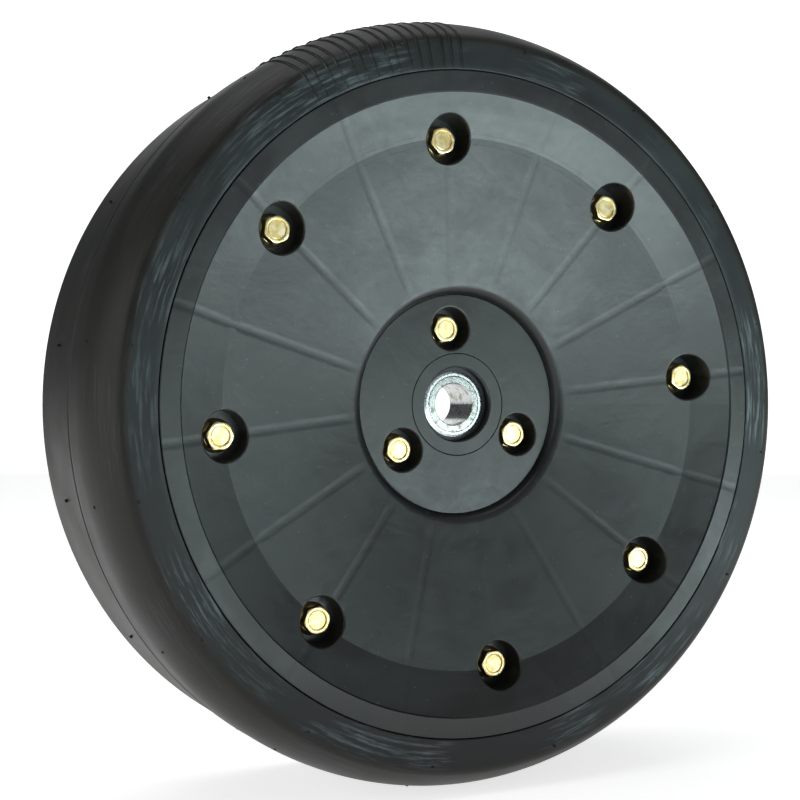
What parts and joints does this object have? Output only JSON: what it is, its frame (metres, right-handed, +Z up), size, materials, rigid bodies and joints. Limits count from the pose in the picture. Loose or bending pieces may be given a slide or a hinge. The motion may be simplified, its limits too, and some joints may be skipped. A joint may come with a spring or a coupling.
{
  "type": "gauge wheel",
  "caption": "Gauge wheel for a planter row unit: dished two-piece bolted nylon rim, semi-pneumatic rubber tyre and a sealed double-row ball bearing with a plain bore.",
  "frame": {"origin": "on the wheel's axis, midway between the two ball rows of the bearing, inside its bore", "axes": "+Y along the axis from the smooth dished face to the arm side, so the dished face looks towards -Y; +Z up, one rim bolt 6.3 degrees from the top"},
  "size_m": [0.4063, 0.1143, 0.4064],
  "materials": {
    "tyre_rubber": "black rubber, satin",
    "rim_nylon": "moulded black nylon, satin",
    "yellow_zinc": "yellow zinc plate",
    "spring_steel": "oil-blacked spring steel",
    "bearing_steel": "ground bearing steel",
    "cage_nylon": "natural nylon",
    "pressed_steel": "zinc plated sheet steel",
    "seal_rubber": "black nitrile rubber"
  },
  "bodies": {
    "spindle_ring": {"bearing_inner_ring": "bearing_steel", "front_flinger": "pressed_steel", "rear_flinger": "pressed_steel"},
    "wheel": {"tyre": "tyre_rubber", "front_rim_half": "rim_nylon", "rear_rim_half": "rim_nylon", "rim_bolts": "yellow_zinc", "rim_nuts": "yellow_zinc", "hub_core": "rim_nylon", "hub_bolts": "yellow_zinc", "hub_nuts": "yellow_zinc", "bearing_circlip": "spring_steel", "bearing_outer_ring": "bearing_steel", "front_seal_case": "pressed_steel", "rear_seal_case": "pressed_steel", "front_seal_lip": "seal_rubber", "rear_seal_lip": "seal_rubber"},
    "front_ball_set": {"front_ball_row": "bearing_steel", "front_ball_cage": "cage_nylon"},
    "rear_ball_set": {"rear_ball_row": "bearing_steel", "rear_ball_cage": "cage_nylon"}
  },
  "joints": [
    {"name": "wheel_spin", "type": "hinge", "parent": "spindle_ring", "child": "wheel", "pos_m": [0, 0, 0], "axis": [0, 1, 0], "continuous": true},
    {"name": "front_balls_orbit", "type": "hinge", "parent": "spindle_ring", "child": "front_ball_set", "pos_m": [0, -0.0041, 0], "axis": [0, 1, 0], "continuous": true},
    {"name": "rear_balls_orbit", "type": "hinge", "parent": "spindle_ring", "child": "rear_ball_set", "pos_m": [0, 0.0041, 0], "axis": [0, 1, 0], "continuous": true}
  ],
  "couplings": [
    {"joint": "front_balls_orbit", "follows": "wheel_spin", "ratio": 0.59071},
    {"joint": "rear_balls_orbit", "follows": "wheel_spin", "ratio": 0.59071}
  ]
}
